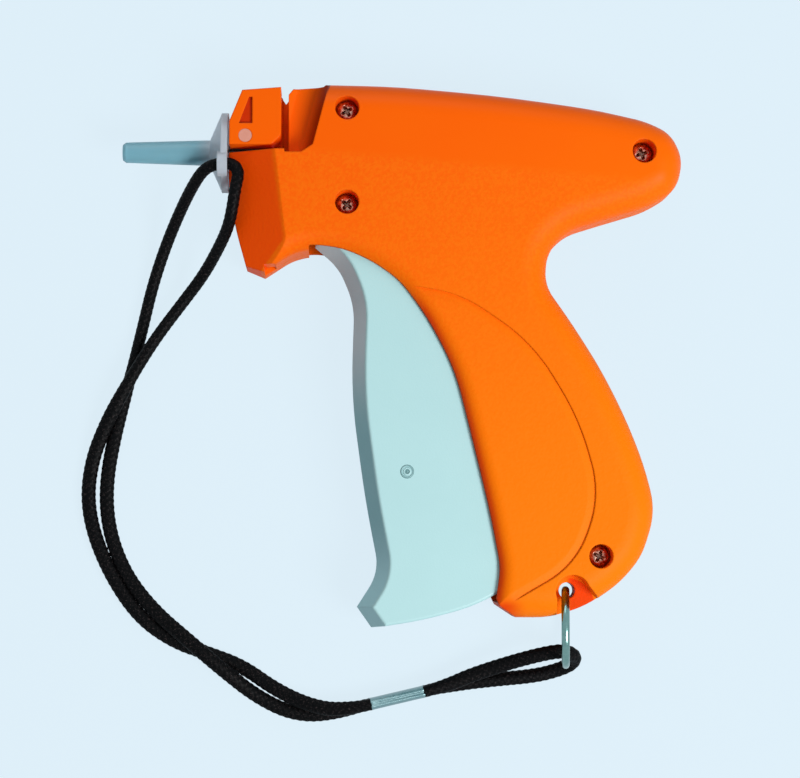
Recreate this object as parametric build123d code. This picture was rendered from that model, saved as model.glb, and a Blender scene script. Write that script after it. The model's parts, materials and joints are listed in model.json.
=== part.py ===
"""Garment tag attacher: a hand gun that shoots a plastic fastener through a hollow needle.

Frame: millimetres. +X runs towards the tail, +Y towards the top edge, +Z towards the left side.
The gun lies on its right side on z = 0. The origin is on that face, under the trigger's pivot.
"""

import os
from math import atan2, cos, degrees, hypot, pi, radians, sin, tan

from build123d import *

os.makedirs("parts", exist_ok=True)

# ---- driving dimensions ------------------------------------------------------------------------
CASING_THICK = 24.0  # over both halves of the casing
WALL = 2.0  # side plates and rims of the casing
BACK_ROUND = 7.0  # rounding along the top, tail and back of the grip
FRONT_ROUND = 5.0  # rounding along the front of the grip
SCREW_SPOTS = [(0.0, 24.4), (0.0, 0.0), (76.6, 13.6), (64.8, -90.6)]
PIVOT_SPOT = SCREW_SPOTS[1]  # the trigger turns about the boss of this screw
SCREW_HEAD_R = 2.7
SCREW_HEAD_H = 2.0
SCREW_SHANK_R = 1.3
SCREW_LENGTH = 15.0
COUNTERBORE_R = 3.1
COUNTERBORE_DEEP = 5.0
BOSS_R = 4.0

NEEDLE_Y = 14.4  # height of the needle and ejector axis above the trigger pivot
NEEDLE_R = 1.1
NEEDLE_BORE_R = 0.8
NEEDLE_SLOT = 0.7
NEEDLE_TIP_X = -53.5
NEEDLE_SLANT = 32.0  # degrees, of the cut across its tip
ROD_R = 0.65
NOSE_X = -30.5  # front face of the nose
NOSE_HALF_THICK = 5.0  # half thickness of the nose at its front face
NOSE_SLANT_X = -18.5  # where the slanted cheeks of the nose reach full thickness
NOSE_SLANT_RUN = (3.0, -24.0)  # direction of the crease where the slanted cheeks begin
SLIT = 1.4  # filament slit between nose and needle lock
FEED_SLOT = 1.6
FEED_SLOT_X = -15.9
FEED_FLOOR_Z = 10.6
FEED_MOUTH = 2.8  # width of the notch under the nose where the spent strip leaves
FEED_MOUTH_Y = -15.7  # top of that notch

LOCK_RIGHT_X = -17.0
LOCK_TOP_Y = 30.0
LOCK_FACE_Z = 22.0
LOCK_TRAVEL = 4.0
DOT_R = 1.7

TRIGGER_WIDE = 18.0
TRIGGER_WALL = 2.0
TRIGGER_BEVEL = 3.3  # how far the front of the trigger slopes back from its middle to its side faces
TRIGGER_SWING = 15.0  # degrees of a full pull
LEVER_X = 31.0  # pivot of the drive lever, along the body
LEVER_RISE = 0.6  # how far its long arm passes over the needle's axis
LEVER_SWING = 60.0  # degrees the drive lever turns in a full pull
LEVER_LONG = 37.0
LEVER_THICK = 4.0
LEVER_AXLE_R = 2.0
LEVER_BOSS_R = 2.9
CROSS_PIN_R = 1.5
CARRIAGE_LONG = 14.0
CARRIAGE_WIDE = 10.0
FEED_SPOT = (-9.8, 4.6)  # axis of the feed wheel
FEED_WHEEL_R = 6.2
FEED_TEETH = 10
FEED_SHAFT_R = 1.5
FEED_PIN_R = 0.8
PAWL_ARM = 6.4
PAWL_BEARING = -60.0  # degrees, of the pawl's pivot about the feed wheel

SPRING_R = 4.0
SPRING_WIRE_R = 0.45
SPRING_TURNS = 13
SPRING_STEPS = 8  # runs of wire in each turn
SPRING_SEAT = 4.0  # thickness of the rib behind the spring
SPRING_Y = -58.0
SPRING_FRONT_X = 17.0
SPRING_REAR_X = 69.0

GUARD_TIP_X = -58.3
GUARD_TIP_R = 2.65
GUARD_BASE_R = 3.35
GUARD_DISC_R = 10.4
GUARD_DISC_THICK = 1.7
GUARD_WALL = 1.0
SPIGOT_R = 2.1
SPIGOT_END_X = -38.0
EYE_R = 1.95
EYE_BOSS_R = 3.3
EYE_SPOT = (10.3, 20.1)  # Y and Z of the cord's eye

RING_HOLE_SPOT = (56.8, -99.4)
RING_HOLE_R = 2.1
RING_WEB = 7.0  # thickness of the casing left around the ring's hole
RING_WEB_R = 5.5
SCOOP_WALL = 1.6  # wall behind the dished recess round the ring's hole
RING_R = 9.6  # mean radius of the ring
RING_WIRE_R = 1.05
RING_LEAN = 5.7  # degrees the ring leans towards the nose

CORD_R = 1.6
FERRULE_HIGH = 6.7
FERRULE_WIDE = 3.9

FEED_WHEEL_Z = 9.8  # lower face of the feed wheel
FEED_WHEEL_THICK = 3.2
RATCHET_R = 4.4
RATCHET_THICK = 1.8
FEED_LEVER_Z = 15.2  # lower face of the feed lever
FEED_LEVER_THICK = 2.0
PAWL_R = 1.5
PAWL_PIN_R = 0.7
PAWL_TIP_R = 0.45
SEAT_HALF = 2.6  # half width of the needle base
SEAT_LONG = 9.4  # from the nose's face to the back of the needle base
CHANNEL_HIGH_Z = 14.6
LOCK_RAIL_HALF = 1.5
RECESS_FLOOR_Z = 20.5
SCOOP_R = 6.0  # radius of the recess behind the feed slot
RING_SCOOP_R = 4.4
SCOOP_END_R = 9.7
RING_REST_Y = 0.04  # height of the ring's wire above the centre of its hole
PANEL_SLOPE = 2.4  # width of the slope from the palm panel down to its edge line
PANEL_STEP = 0.55
TRIGGER_ROUND = 0.8
HORN_ROOT_R = 6.0
HORN_R = 3.2
LEVER_HUB_R = 4.6
ROD_GRIP = 3.5  # length of the carriage's block on the ejector rod
CARRIAGE_LOW_Y = 6.2
CARRIAGE_TOP_Y = 20.8
RAIL_FRONT_X = 8.5
FERRULE_GAP = 0.2

# ---- fits ------------------------------------------------------------------------------------
RUN_FIT = 0.06  # radial clearance of a turning pin or sliding rod
SEAT_FIT = 0.02  # radial clearance of a pressed or screwed part
SIDE_GAP = 0.4  # gap beside a moving part
LEVER_SLACK = 0.6  # slack of the lever's upper pin in the carriage
SLOT_SLACK = 0.3  # slack across a driven pin

# ---- places worked out from them -------------------------------------------------------------
MID_Z = CASING_THICK / 2
NOSE_TOP_Y = NEEDLE_Y - SLIT / 2
LOCK_LOW_Y = NEEDLE_Y + SLIT / 2
SEAT_Z = CASING_THICK - COUNTERBORE_DEEP - SCREW_HEAD_H
HALF_SWING = radians(TRIGGER_SWING / 2)
LEVER_HALF = radians(LEVER_SWING / 2)
LEVER_SPOT = (LEVER_X, NEEDLE_Y + LEVER_RISE - LEVER_LONG)
LEVER_GAP = hypot(*LEVER_SPOT)
LEVER_BEARING = atan2(LEVER_SPOT[1], LEVER_SPOT[0])
LEVER_SHORT = LEVER_GAP * tan(HALF_SWING) / (sin(LEVER_HALF) - tan(HALF_SWING) * cos(LEVER_HALF))
FEED_SWING = 360 / FEED_TEETH
FEED_HALF = radians(FEED_SWING / 2)
FEED_GAP = hypot(*FEED_SPOT)
FEED_BEARING = atan2(FEED_SPOT[1], FEED_SPOT[0])
FEED_ARM = FEED_GAP * tan(HALF_SWING) / (sin(FEED_HALF) + tan(HALF_SWING) * cos(FEED_HALF))


def polar(spot, radius, angle):
    """The point at a radius and an angle in radians from a spot."""
    return (spot[0] + radius * cos(angle), spot[1] + radius * sin(angle))


HUB_R = BOSS_R + 3.0
FEED_BOSS_R = FEED_SHAFT_R + 1.5
PAWL_SPOT = polar(FEED_SPOT, PAWL_ARM, radians(PAWL_BEARING))
SEAT_REAR_X = NOSE_X + SEAT_LONG
UPPER_PIN = polar(LEVER_SPOT, LEVER_LONG, radians(90) - LEVER_HALF)
UPPER_PIN_TOP_Y = LEVER_SPOT[1] + LEVER_LONG
LOWER_PIN = polar(LEVER_SPOT, LEVER_SHORT, LEVER_BEARING - LEVER_HALF)
LOWER_PIN_ANGLE = atan2(LOWER_PIN[1], LOWER_PIN[0])
LOWER_PIN_NEAR = hypot(*LOWER_PIN)
LOWER_PIN_FAR = LEVER_GAP + LEVER_SHORT
FEED_PIN = polar(FEED_SPOT, FEED_ARM, FEED_BEARING + radians(180) + FEED_HALF)
FEED_PIN_ANGLE = atan2(FEED_PIN[1], FEED_PIN[0])
FEED_PIN_FAR = hypot(*FEED_PIN)
FEED_PIN_NEAR = FEED_GAP - FEED_ARM
CARRIAGE_FRONT_X = UPPER_PIN[0] - CARRIAGE_LONG / 2 - 1
CARRIAGE_REAR_X = CARRIAGE_FRONT_X + CARRIAGE_LONG
ROD_TIP_X = FEED_SLOT_X + FEED_SLOT / 2 + 0.8
TRIGGER_LOW_Z = MID_Z - TRIGGER_WIDE / 2
TRIGGER_HIGH_Z = MID_Z + TRIGGER_WIDE / 2

# ---- outlines, seen from the left side -----------------------------------------------------------
TOP_FRONT = (-5.2, 31.4)
BODY_BACK = [
    TOP_FRONT, (12.0, 31.0), (40.0, 28.6), (64.4, 25.2), (77.7, 22.1), (84.0, 18.7), (86.9, 12.4), (85.3, 4.9),
    (78.5, 0.2), (66.8, -3.6), (57.5, -6.9), (52.5, -12.3), (51.8, -20.4), (57.8, -29.9), (65.5, -42.3),
    (71.9, -55.1), (76.5, -67.1), (79.0, -79.0), (75.6, -90.6), (69.9, -97.4), (61.3, -103.2), (52.0, -106.0),
    (43.4, -106.2),
]
GRIP_TOE = [(39.0, -103.2), (37.3, -99.8)]
GRIP_FRONT = [
    GRIP_TOE[-1], (38.0, -93.5), (35.5, -79.5), (30.9, -60.2), (26.4, -43.4), (19.7, -30.3), (12.8, -21.0),
    (5.8, -16.0), (-1.5, -12.9), (-9.0, -12.0), (-14.2, -13.3), (-21.2, -17.7),
]
NOSE_FRONT = [(-26.0, -16.0), (-28.8, -5.5), (NOSE_X, 5.5), (NOSE_X, NOSE_TOP_Y)]
SLOT_LEFT_X = FEED_SLOT_X - FEED_SLOT / 2
SLOT_RIGHT_X = FEED_SLOT_X + FEED_SLOT / 2
RECESS_TOP = [(SLOT_RIGHT_X + 1.2, 30.2), (-6.0, 30.8), TOP_FRONT]
LEFT_FRONT = [(NOSE_X, NOSE_TOP_Y), (SLOT_RIGHT_X, NOSE_TOP_Y), (SLOT_RIGHT_X, 28.6), *RECESS_TOP]
RIGHT_FRONT = [
    (NOSE_X, NOSE_TOP_Y), (NOSE_X + 0.3, 21.0), (-26.8, 28.9), (LOCK_RIGHT_X - 0.3, 29.7),
    (FEED_SLOT_X, 27.6), *RECESS_TOP,
]
RECESS_WALL = [(-8.8, 14.9), (-4.8, 30.3)]  # slanted edge of the scooped recess behind the feed slot
RECESS = [
    (SLOT_RIGHT_X - 1, 34.0), (SLOT_RIGHT_X - 1, NOSE_TOP_Y - 0.8), (-11.8, NOSE_TOP_Y - 0.8),
    *RECESS_WALL, (RECESS_WALL[1][0], 34.0),
]
FEED_EXIT = (-19.8, -18.5)
MECHANISM_ROOM = [(-12.8, -20), (-12.8, 11.6), (-3.4, 11.6), (-3.4, 35), (95, 35), (95, -115), (-12.8, -115)]
TRIGGER_DOOR = [
    (-9.8, -6.5), (-9.8, -115.0), (47.0, -115.0), (47.0, -80.0), (40.0, -40.0), (24.0, -14.0), (10.0, -6.5),
]
LOCK_OUTLINE = [
    (NOSE_X + 0.2, LOCK_LOW_Y), (NOSE_X + 0.2, 21.1), (-27.0, 29.2), (LOCK_RIGHT_X, LOCK_TOP_Y),
    (LOCK_RIGHT_X, LOCK_LOW_Y + 2.4), (LOCK_RIGHT_X - 2.4, LOCK_LOW_Y),
]
LOCK_ARROW = [(-25.2, 27.4), (-24.4, 27.4), (-24.4, 20.6), (-27.8, 20.6)]
LOCK_DOT_SPOT = (-26.2, 17.4)
LOCK_RAIL_X = -23.0
PANEL_EDGE = [
    (13.0, -20.9), (28.9, -24.2), (46.8, -36.7), (58.8, -55.9), (63.6, -75.0), (57.5, -92.0), (41.5, -102.6),
]
SCOOP = [(57.6, -99.7), (63.5, -114.0)]  # the dished recess round the ring's hole runs off the heel

TRIGGER_FRONT = [
    (-8.2, -10.4), (-2.3, -16.0), (1.6, -25.5), (1.6, -49.0), (5.0, -76.1), (7.8, -94.5), (2.8, -103.6),
]
TRIGGER_TOE = (6.4, -108.9)
TRIGGER_REAR = [
    TRIGGER_TOE, (19.1, -106.8), (32.0, -103.2), (41.6, -97.8), (43.4, -91.0), (40.5, -76.0), (35.5, -56.5),
    (32.6, -46.0), (28.6, -37.0), (24.0, -26.5), (16.5, -14.0), (6.4, -3.0),
]
TRIGGER_TOP = [TRIGGER_REAR[-1], (-6.4, -3.0), TRIGGER_FRONT[0]]
BEVEL_BACK = [(18.4, -125.9), (120.0, -125.9), (120.0, 30.0), (-24.0, 30.0), (-24.0, 4.6)]
TRIGGER_REACH = hypot(*TRIGGER_TOE)
TRIGGER_OPEN_BACK = [
    (60.0, -9.0), (15.0, -9.0), (19.0, -29.0), (20.0, -35.0), (24.0, -47.0), (28.0, -57.0), (33.0, -76.0),
    (35.5, -90.0), (35.0, -97.0), (60.0, -97.0),
]
HORN_ROOT = (27.0, -45.5)  # the horn that carries the lower pin's slot grows from here

# the long loop of cord: from the ferrule up to the guard's eye, and back beside itself
LONG_LOOP = [
    (6.7, -129.1, 1.7), (-3.6, -131.9, 1.7), (-13.6, -131.9, 1.7), (-23.2, -127.3, 1.9), (-32.2, -120.0, 4.7),
    (-40.6, -112.8, 5.3), (-50.2, -104.9, 2.5), (-57.8, -95.4, 1.7), (-62.0, -84.0, 1.7), (-62.9, -72.0, 1.7),
    (-60.6, -57.5, 1.7), (-56.8, -43.5, 1.7), (-53.7, -30.5, 1.7), (-51.2, -19.5, 1.8), (-47.8, -9.5, 4.0),
    (-43.8, -1.0, 9.0), (-40.2, 5.0, 14.6), (-37.0, 9.0, 18.8), (-33.6, 10.3, 20.1), (-29.6, 10.4, 20.3),
    (-27.6, 8.0, 21.3), (-27.6, 3.6, 21.6), (-29.0, -1.2, 20.6), (-31.2, -6.2, 16.6), (-34.4, -11.2, 11.0),
    (-38.6, -17.2, 5.4), (-43.6, -24.6, 3.2), (-49.4, -32.6, 4.8), (-54.4, -40.6, 5.3), (-59.4, -49.4, 5.2),
    (-63.7, -56.6, 3.4), (-66.8, -65.0, 1.7), (-67.6, -75.0, 1.7), (-65.8, -85.0, 1.7), (-61.2, -96.2, 1.7),
    (-54.0, -106.6, 1.7), (-45.0, -112.9, 1.7), (-36.0, -116.0, 1.7), (-27.0, -119.3, 1.7), (-18.2, -125.5, 2.3),
    (-9.2, -129.5, 4.2), (-1.0, -130.7, 5.1), (6.65, -129.1, 5.1),
]
# the short loop: from the ferrule under the ring, round it and back through it
SHORT_LOOP = [
    (20.5, -125.9, 1.7), (28.5, -124.1, 1.7), (39.0, -122.9, 1.7), (49.5, -122.0, 1.7), (56.6, -120.4, 1.8),
    (61.0, -118.8, 3.6), (61.4, -116.2, 7.4), (57.6, -114.4, 9.8), (51.6, -115.0, 9.0), (42.0, -117.8, 6.8),
    (32.5, -121.6, 5.5), (26.6, -124.2, 5.1), (20.45, -125.85, 5.1),
]


# ---- small helpers -------------------------------------------------------------------------------
def corners_of(points, closed):
    """Each corner of a route with its turn in radians, the reach of its arc and the way outwards."""
    spots = [Vector(*p) for p in points]
    chain = [spots[-1], *spots, spots[0]] if closed else spots
    corners = []
    for before, at, after in zip(chain, chain[1:], chain[2:]):
        turn = radians((at - before).get_angle(after - at))
        reach = 0.45 * min((at - before).length, (after - at).length)
        outwards = (at - before).normalized() - (after - at).normalized()
        corners.append((at, turn, reach, outwards.normalized()))
    return corners


def rounded(points, closed=False):
    """Straight runs joined by arcs that take 0.45 of the shorter run on either side of a corner."""
    radii = [reach / tan(turn / 2) for _, turn, reach, _ in corners_of(points, closed)]
    return FilletPolyline(*points, radius=radii, close=closed)


def smooth(points, closed=False):
    """The same, with its corners pushed out so that the curve passes through the points."""
    corners = corners_of(points, closed)
    pushed = [at + outwards * reach * tan(turn / 4) for at, turn, reach, outwards in corners]
    if not closed:
        pushed = [points[0], *pushed, points[-1]]
    return rounded(pushed, closed)


def polygon(*points):
    """A flat face with straight sides."""
    return make_face(Polyline(*points, close=True))


def slab(face, low, high):
    """The face carried from one height to another."""
    return extrude(Pos(0, 0, low) * face, amount=high - low)


def post(spot, radius, low, high):
    """A round bar parallel to Z."""
    bar = Cylinder(radius, high - low, align=(Align.CENTER, Align.CENTER, Align.MIN))
    return Pos(spot[0], spot[1], low) * bar


def cross_pin(spot, radius, half_long):
    """A round bar across the gun, centred on the middle plane."""
    return post(spot, radius, MID_Z - half_long, MID_Z + half_long)


def bar_x(radius, x_low, x_high, y=NEEDLE_Y, z=MID_Z):
    """A round bar parallel to X."""
    turn = Pos(x_low, y, z) * Rot(0, 90, 0)
    return turn * Cylinder(radius, x_high - x_low, align=(Align.CENTER, Align.CENTER, Align.MIN))


def block(x_low, x_high, y_low, y_high, z_low, z_high):
    """A box between two corners."""
    box = Box(x_high - x_low, y_high - y_low, z_high - z_low, align=(Align.MIN, Align.MIN, Align.MIN))
    return Pos(x_low, y_low, z_low) * box


def mirrored(shape):
    """The same shape on the other side of the middle plane."""
    return mirror(shape, about=Plane.XY.offset(MID_Z))


def link(start, end, radius_start, radius_end, low, high):
    """A bar with round ends: the hull of two discs."""
    angle = atan2(end[1] - start[1], end[0] - start[0])
    left, right = angle + radians(90), angle - radians(90)
    sides = polygon(
        polar(start, radius_start, left),
        polar(start, radius_start, right),
        polar(end, radius_end, right),
        polar(end, radius_end, left),
    )
    return slab(sides, low, high) + post(start, radius_start, low, high) + post(end, radius_end, low, high)


def cord(name, route):
    """A tube of straight runs joined by arcs."""
    path = rounded(route)
    radii = [round(reach / tan(turn / 2), 1) for _, turn, reach, _ in corners_of(route, False)]
    start = Plane(origin=route[0], z_dir=Vector(*route[1]) - Vector(*route[0]))
    tube = sweep(start * Circle(CORD_R), path=path)
    print(name, "length", round(path.length, 1), "radii", radii)
    print(name, "volume", round(tube.volume), "section times length", round(pi * CORD_R**2 * path.length))
    return tube


# ---- casing ----------------------------------------------------------------------------------------
def casing_outline(front):
    """The outline of one half; its front top runs from the nose's upper corner to the top edge."""
    return make_face(
        [
            Polyline(*front),
            smooth(BODY_BACK),
            Polyline(BODY_BACK[-1], *GRIP_TOE),
            smooth(GRIP_FRONT),
            Line(GRIP_FRONT[-1], NOSE_FRONT[0]),
            smooth(NOSE_FRONT),
        ]
    )


def casing_plate(front):
    """One half before it is hollowed, on the left side: rounded outside, with a slanted nose."""
    plain = slab(casing_outline(front), MID_Z, CASING_THICK)
    rims = plain.faces().sort_by(Axis.Z)[-1].edges()
    back = rims.sort_by_distance((*BODY_BACK[2], CASING_THICK))[0]
    grip = rims.sort_by_distance((*GRIP_FRONT[3], CASING_THICK))[0]
    plate = fillet(back, BACK_ROUND) & fillet(grip, FRONT_ROUND)
    across = Vector(*NOSE_SLANT_RUN, 0)
    rise = Vector(NOSE_SLANT_X - NOSE_X, 0, MID_Z - NOSE_HALF_THICK)
    slant = Plane(origin=(NOSE_SLANT_X, NOSE_TOP_Y, CASING_THICK), x_dir=across, z_dir=across.cross(rise))
    big = 4 * CASING_THICK
    return plate - slant * Box(big, big, CASING_THICK, align=(Align.CENTER, Align.CENTER, Align.MIN))


def casing_room(front):
    """The room inside the left half: stepped so that the rounded back keeps its wall."""
    whole = casing_outline(front)
    shallow = CASING_THICK - BACK_ROUND + 1
    deep_inset = WALL + 0.3 * BACK_ROUND
    room = slab(offset(whole, amount=-WALL, kind=Kind.INTERSECTION), MID_Z - 1, shallow)
    room += slab(offset(whole, amount=-deep_inset, kind=Kind.INTERSECTION), MID_Z - 1, CASING_THICK - WALL)
    room &= slab(polygon(*MECHANISM_ROOM), MID_Z, CASING_THICK)
    door = polygon(*TRIGGER_DOOR) & Circle(TRIGGER_REACH + SIDE_GAP)
    room += slab(door, MID_Z - 1, CASING_THICK - WALL)
    room += post(FEED_SPOT, FEED_WHEEL_R + SIDE_GAP, MID_Z - 1, CASING_THICK - WALL)
    return room


def kept_inside():
    """What stands in the room of either half: ring web, spring seat, bosses and the carriage's rails."""
    high = CASING_THICK - WALL / 2
    lever_face = MID_Z + LEVER_THICK / 2 + SIDE_GAP
    carriage_side = MID_Z + CARRIAGE_WIDE / 2 + SIDE_GAP
    kept = post(RING_HOLE_SPOT, RING_WEB_R, MID_Z, high)
    kept += link(*SCOOP, RING_SCOOP_R + SCOOP_WALL, SCOOP_END_R + SCOOP_WALL, MID_Z, high)
    seat_half = SPRING_R + 1
    rib_back = SPRING_REAR_X + SPRING_SEAT
    kept += block(SPRING_REAR_X, rib_back, SPRING_Y - seat_half, SPRING_Y + seat_half, MID_Z, high)
    for spot in SCREW_SPOTS:
        kept += post(spot, BOSS_R, MID_Z, high)
    kept += post(LEVER_SPOT, LEVER_BOSS_R, lever_face, high)
    front, rear = RAIL_FRONT_X, CARRIAGE_REAR_X + 1
    kept += block(front, rear, CARRIAGE_TOP_Y + SIDE_GAP, CARRIAGE_TOP_Y + SIDE_GAP + WALL, MID_Z, high)
    kept += block(front, rear, CARRIAGE_LOW_Y - SIDE_GAP - WALL, CARRIAGE_LOW_Y - SIDE_GAP, lever_face, high)
    for low in (CARRIAGE_LOW_Y + 1, CARRIAGE_TOP_Y - 1 - WALL):
        kept += block(front, rear, low, low + WALL, carriage_side, high)
    return kept


def panel_line():
    """What is cut along the palm panel's edge: a steep wall outside and a slope up to the panel inside."""
    path = smooth(PANEL_EDGE)
    along = path % 0
    start = Plane(origin=path @ 0 + Vector(0, 0, CASING_THICK), x_dir=Vector(0, 0, 1).cross(along), z_dir=along)
    profile = polygon((0, 1), (0, -PANEL_STEP), (-PANEL_SLOPE, PANEL_STEP / 8), (-PANEL_SLOPE, 1))
    return sweep(start * profile, path=Pos(0, 0, CASING_THICK) * path)


def needle_seat(fit):
    """The moulded base that holds the needle: a block in the nose with a round spigot in front."""
    seat = block(
        NOSE_X + 0.6 - fit, SEAT_REAR_X + fit, NEEDLE_Y - SEAT_HALF - fit, NEEDLE_Y + SEAT_HALF + fit,
        MID_Z - SEAT_HALF - fit, MID_Z + SEAT_HALF + fit,
    )
    return seat + bar_x(SPIGOT_R + fit, SPIGOT_END_X, NOSE_X + 1)


def nose_ways():
    """What is cut out of the nose: needle seat, needle, ejector rod and the fastener channel."""
    ways = needle_seat(SEAT_FIT)
    ways += bar_x(NEEDLE_R + SEAT_FIT, SEAT_REAR_X, SLOT_LEFT_X + 0.1)
    ways += bar_x(ROD_R + 2 * RUN_FIT, SLOT_RIGHT_X - 0.5, TOP_FRONT[0] + 6)
    half = FEED_SLOT / 2
    low_left, low_right = (FEED_EXIT[0] - half, FEED_EXIT[1] - 2), (FEED_EXIT[0] + half, FEED_EXIT[1] - 2)
    top_y = NEEDLE_Y + 2
    left_side = [(SLOT_LEFT_X, top_y), (SLOT_LEFT_X, 12), low_left]
    right_side = [low_right, (SLOT_RIGHT_X, 12), (SLOT_RIGHT_X, top_y)]
    ways += slab(polygon(*left_side, *right_side), FEED_FLOOR_Z, CHANNEL_HIGH_Z)
    mouth_left, mouth_right = FEED_EXIT[0] - FEED_MOUTH / 2, FEED_EXIT[0] + FEED_MOUTH / 2
    ways += block(mouth_left, mouth_right, FEED_EXIT[1] - 2, FEED_MOUTH_Y, FEED_FLOOR_Z, CASING_THICK + 1)
    return ways + block(SLOT_LEFT_X, SLOT_RIGHT_X, NOSE_TOP_Y, 35, FEED_FLOOR_Z, CASING_THICK + 1)


def left_casing():
    """The left half: recess, screw counterbores, palm panel line and the ring's scoop."""
    plate = casing_plate(LEFT_FRONT)
    half = plate - casing_room(LEFT_FRONT) + (kept_inside() & plate)
    wall_run = Vector(*RECESS_WALL[1], 0) - Vector(*RECESS_WALL[0], 0)
    middle = Vector(RECESS_WALL[0][0] - SCOOP_R + 0.6, RECESS_WALL[0][1], RECESS_FLOOR_Z + 2.5)
    dish = Plane(origin=middle, z_dir=wall_run) * Cylinder(SCOOP_R, 60)
    recess = slab(polygon(*RECESS), RECESS_FLOOR_Z, CASING_THICK + 1)
    recess += slab(polygon(*RECESS), RECESS_FLOOR_Z - 3, CASING_THICK + 1) & dish
    half -= recess
    half -= nose_ways()
    for spot in SCREW_SPOTS:
        half -= post(spot, COUNTERBORE_R, SEAT_Z, CASING_THICK + 1)
        half -= post(spot, SCREW_SHANK_R + 2 * RUN_FIT, MID_Z - 1, CASING_THICK)
    half -= panel_line()
    return half - shared_cuts()


def shared_cuts():
    """What is cut alike out of both halves: the ring's hole and scoops and the lever axle's sockets."""
    cuts = post(RING_HOLE_SPOT, RING_HOLE_R, -1, CASING_THICK + 1)
    scoop = link(*SCOOP, RING_SCOOP_R, SCOOP_END_R, MID_Z + RING_WEB / 2, CASING_THICK + 1)
    cuts += scoop + mirrored(scoop)
    return cuts + post(LEVER_SPOT, LEVER_AXLE_R + SEAT_FIT, WALL / 2, CASING_THICK - WALL / 2)


def right_casing():
    """The right half: flat to lie on, with screw posts, the feed shaft's boss and the lock's T slot."""
    plate = casing_plate(RIGHT_FRONT)
    half = mirrored(plate - casing_room(RIGHT_FRONT) + (kept_inside() & plate))
    half += post(FEED_SPOT, FEED_BOSS_R, WALL / 2, FEED_WHEEL_Z - RUN_FIT * 3)
    half -= nose_ways()
    half -= lock_rail(2 * RUN_FIT)
    for spot in SCREW_SPOTS:
        half -= post(spot, SCREW_SHANK_R + SEAT_FIT, SEAT_Z - SCREW_LENGTH - 0.4, CASING_THICK)
    half -= post(FEED_SPOT, FEED_SHAFT_R + SEAT_FIT, WALL / 2 + 0.2, CASING_THICK)
    half -= mirrored(panel_line())
    return half - shared_cuts()


def casing_screws():
    """Four pan head screws with a cross recess, seated at the bottom of the counterbores."""
    screws = []
    for x, y in SCREW_SPOTS:
        screw = post((x, y), SCREW_HEAD_R, SEAT_Z, SEAT_Z + SCREW_HEAD_H)
        screw = fillet(screw.edges().sort_by(Axis.Z)[-1], 0.8)
        screw += post((x, y), SCREW_SHANK_R, SEAT_Z - SCREW_LENGTH, SEAT_Z)
        top = SEAT_Z + SCREW_HEAD_H
        for half_x, half_y in ((1.5, 0.32), (0.32, 1.5)):
            screw -= block(x - half_x, x + half_x, y - half_y, y + half_y, top - 1.1, top + 1)
        screws.append(screw)
    return Compound(children=screws)


# ---- needle, lock and guard --------------------------------------------------------------------------
def needle():
    """A hollow needle, slit along its left side, with a slanted tip."""
    tube = bar_x(NEEDLE_R, NEEDLE_TIP_X, SLOT_LEFT_X - 0.1)
    tube -= bar_x(NEEDLE_BORE_R, NEEDLE_TIP_X - 1, SLOT_LEFT_X + 1)
    half = NEEDLE_SLOT / 2
    tube -= block(NEEDLE_TIP_X - 1, SLOT_LEFT_X + 1, NEEDLE_Y - half, NEEDLE_Y + half, MID_Z, MID_Z + 3)
    turn = Pos(NEEDLE_TIP_X, NEEDLE_Y - NEEDLE_R, MID_Z) * Rot(0, 0, NEEDLE_SLANT)
    big = 12 * NEEDLE_R
    return tube - turn * Box(big, big, big, align=(Align.CENTER, Align.MIN, Align.CENTER))


def needle_base():
    """The needle's moulded base and spigot, slotted for the filament."""
    base = needle_seat(0) - bar_x(NEEDLE_R + SEAT_FIT, SPIGOT_END_X - 1, SEAT_REAR_X + 1)
    half = NEEDLE_SLOT / 2 + 0.1
    return base - block(SPIGOT_END_X - 1, SEAT_REAR_X + 1, NEEDLE_Y - half, NEEDLE_Y + half, MID_Z, MID_Z + 9)


def lock_rail(fit):
    """The T rail on which the needle lock slides up and down."""
    neck, foot = LOCK_RAIL_HALF, 2 * LOCK_RAIL_HALF
    low, high = LOCK_LOW_Y + SEAT_HALF, LOCK_TOP_Y + LOCK_TRAVEL * (1 if fit else -0.2)
    rail = block(LOCK_RAIL_X - neck - fit, LOCK_RAIL_X + neck + fit, low - fit, high, MID_Z - 2, MID_Z + 1)
    return rail + block(
        LOCK_RAIL_X - foot - fit, LOCK_RAIL_X + foot + fit, low - fit, high, MID_Z - 3.4 - fit, MID_Z - 2 + fit
    )


def needle_lock():
    """The lock block: it bridges the needle base and slides up to free the needle."""
    face = polygon(*LOCK_OUTLINE)
    lock = slab(face, MID_Z + 2 * RUN_FIT, LOCK_FACE_Z)
    corner = lock.edges().filter_by(Axis.Z).sort_by_distance((LOCK_RIGHT_X, LOCK_LOW_Y, MID_Z))[:2]
    lock = fillet(corner, 1.6)
    lock += lock_rail(0)
    lock -= needle_seat(2 * RUN_FIT) + bar_x(NEEDLE_R + 4 * RUN_FIT, SEAT_REAR_X - 1, SLOT_LEFT_X)
    lock -= slab(polygon(*LOCK_ARROW), LOCK_FACE_Z - 0.8, LOCK_FACE_Z + 1)
    return lock - post(LOCK_DOT_SPOT, DOT_R + SEAT_FIT, MID_Z + 3.5, LOCK_FACE_Z + 1)


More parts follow.
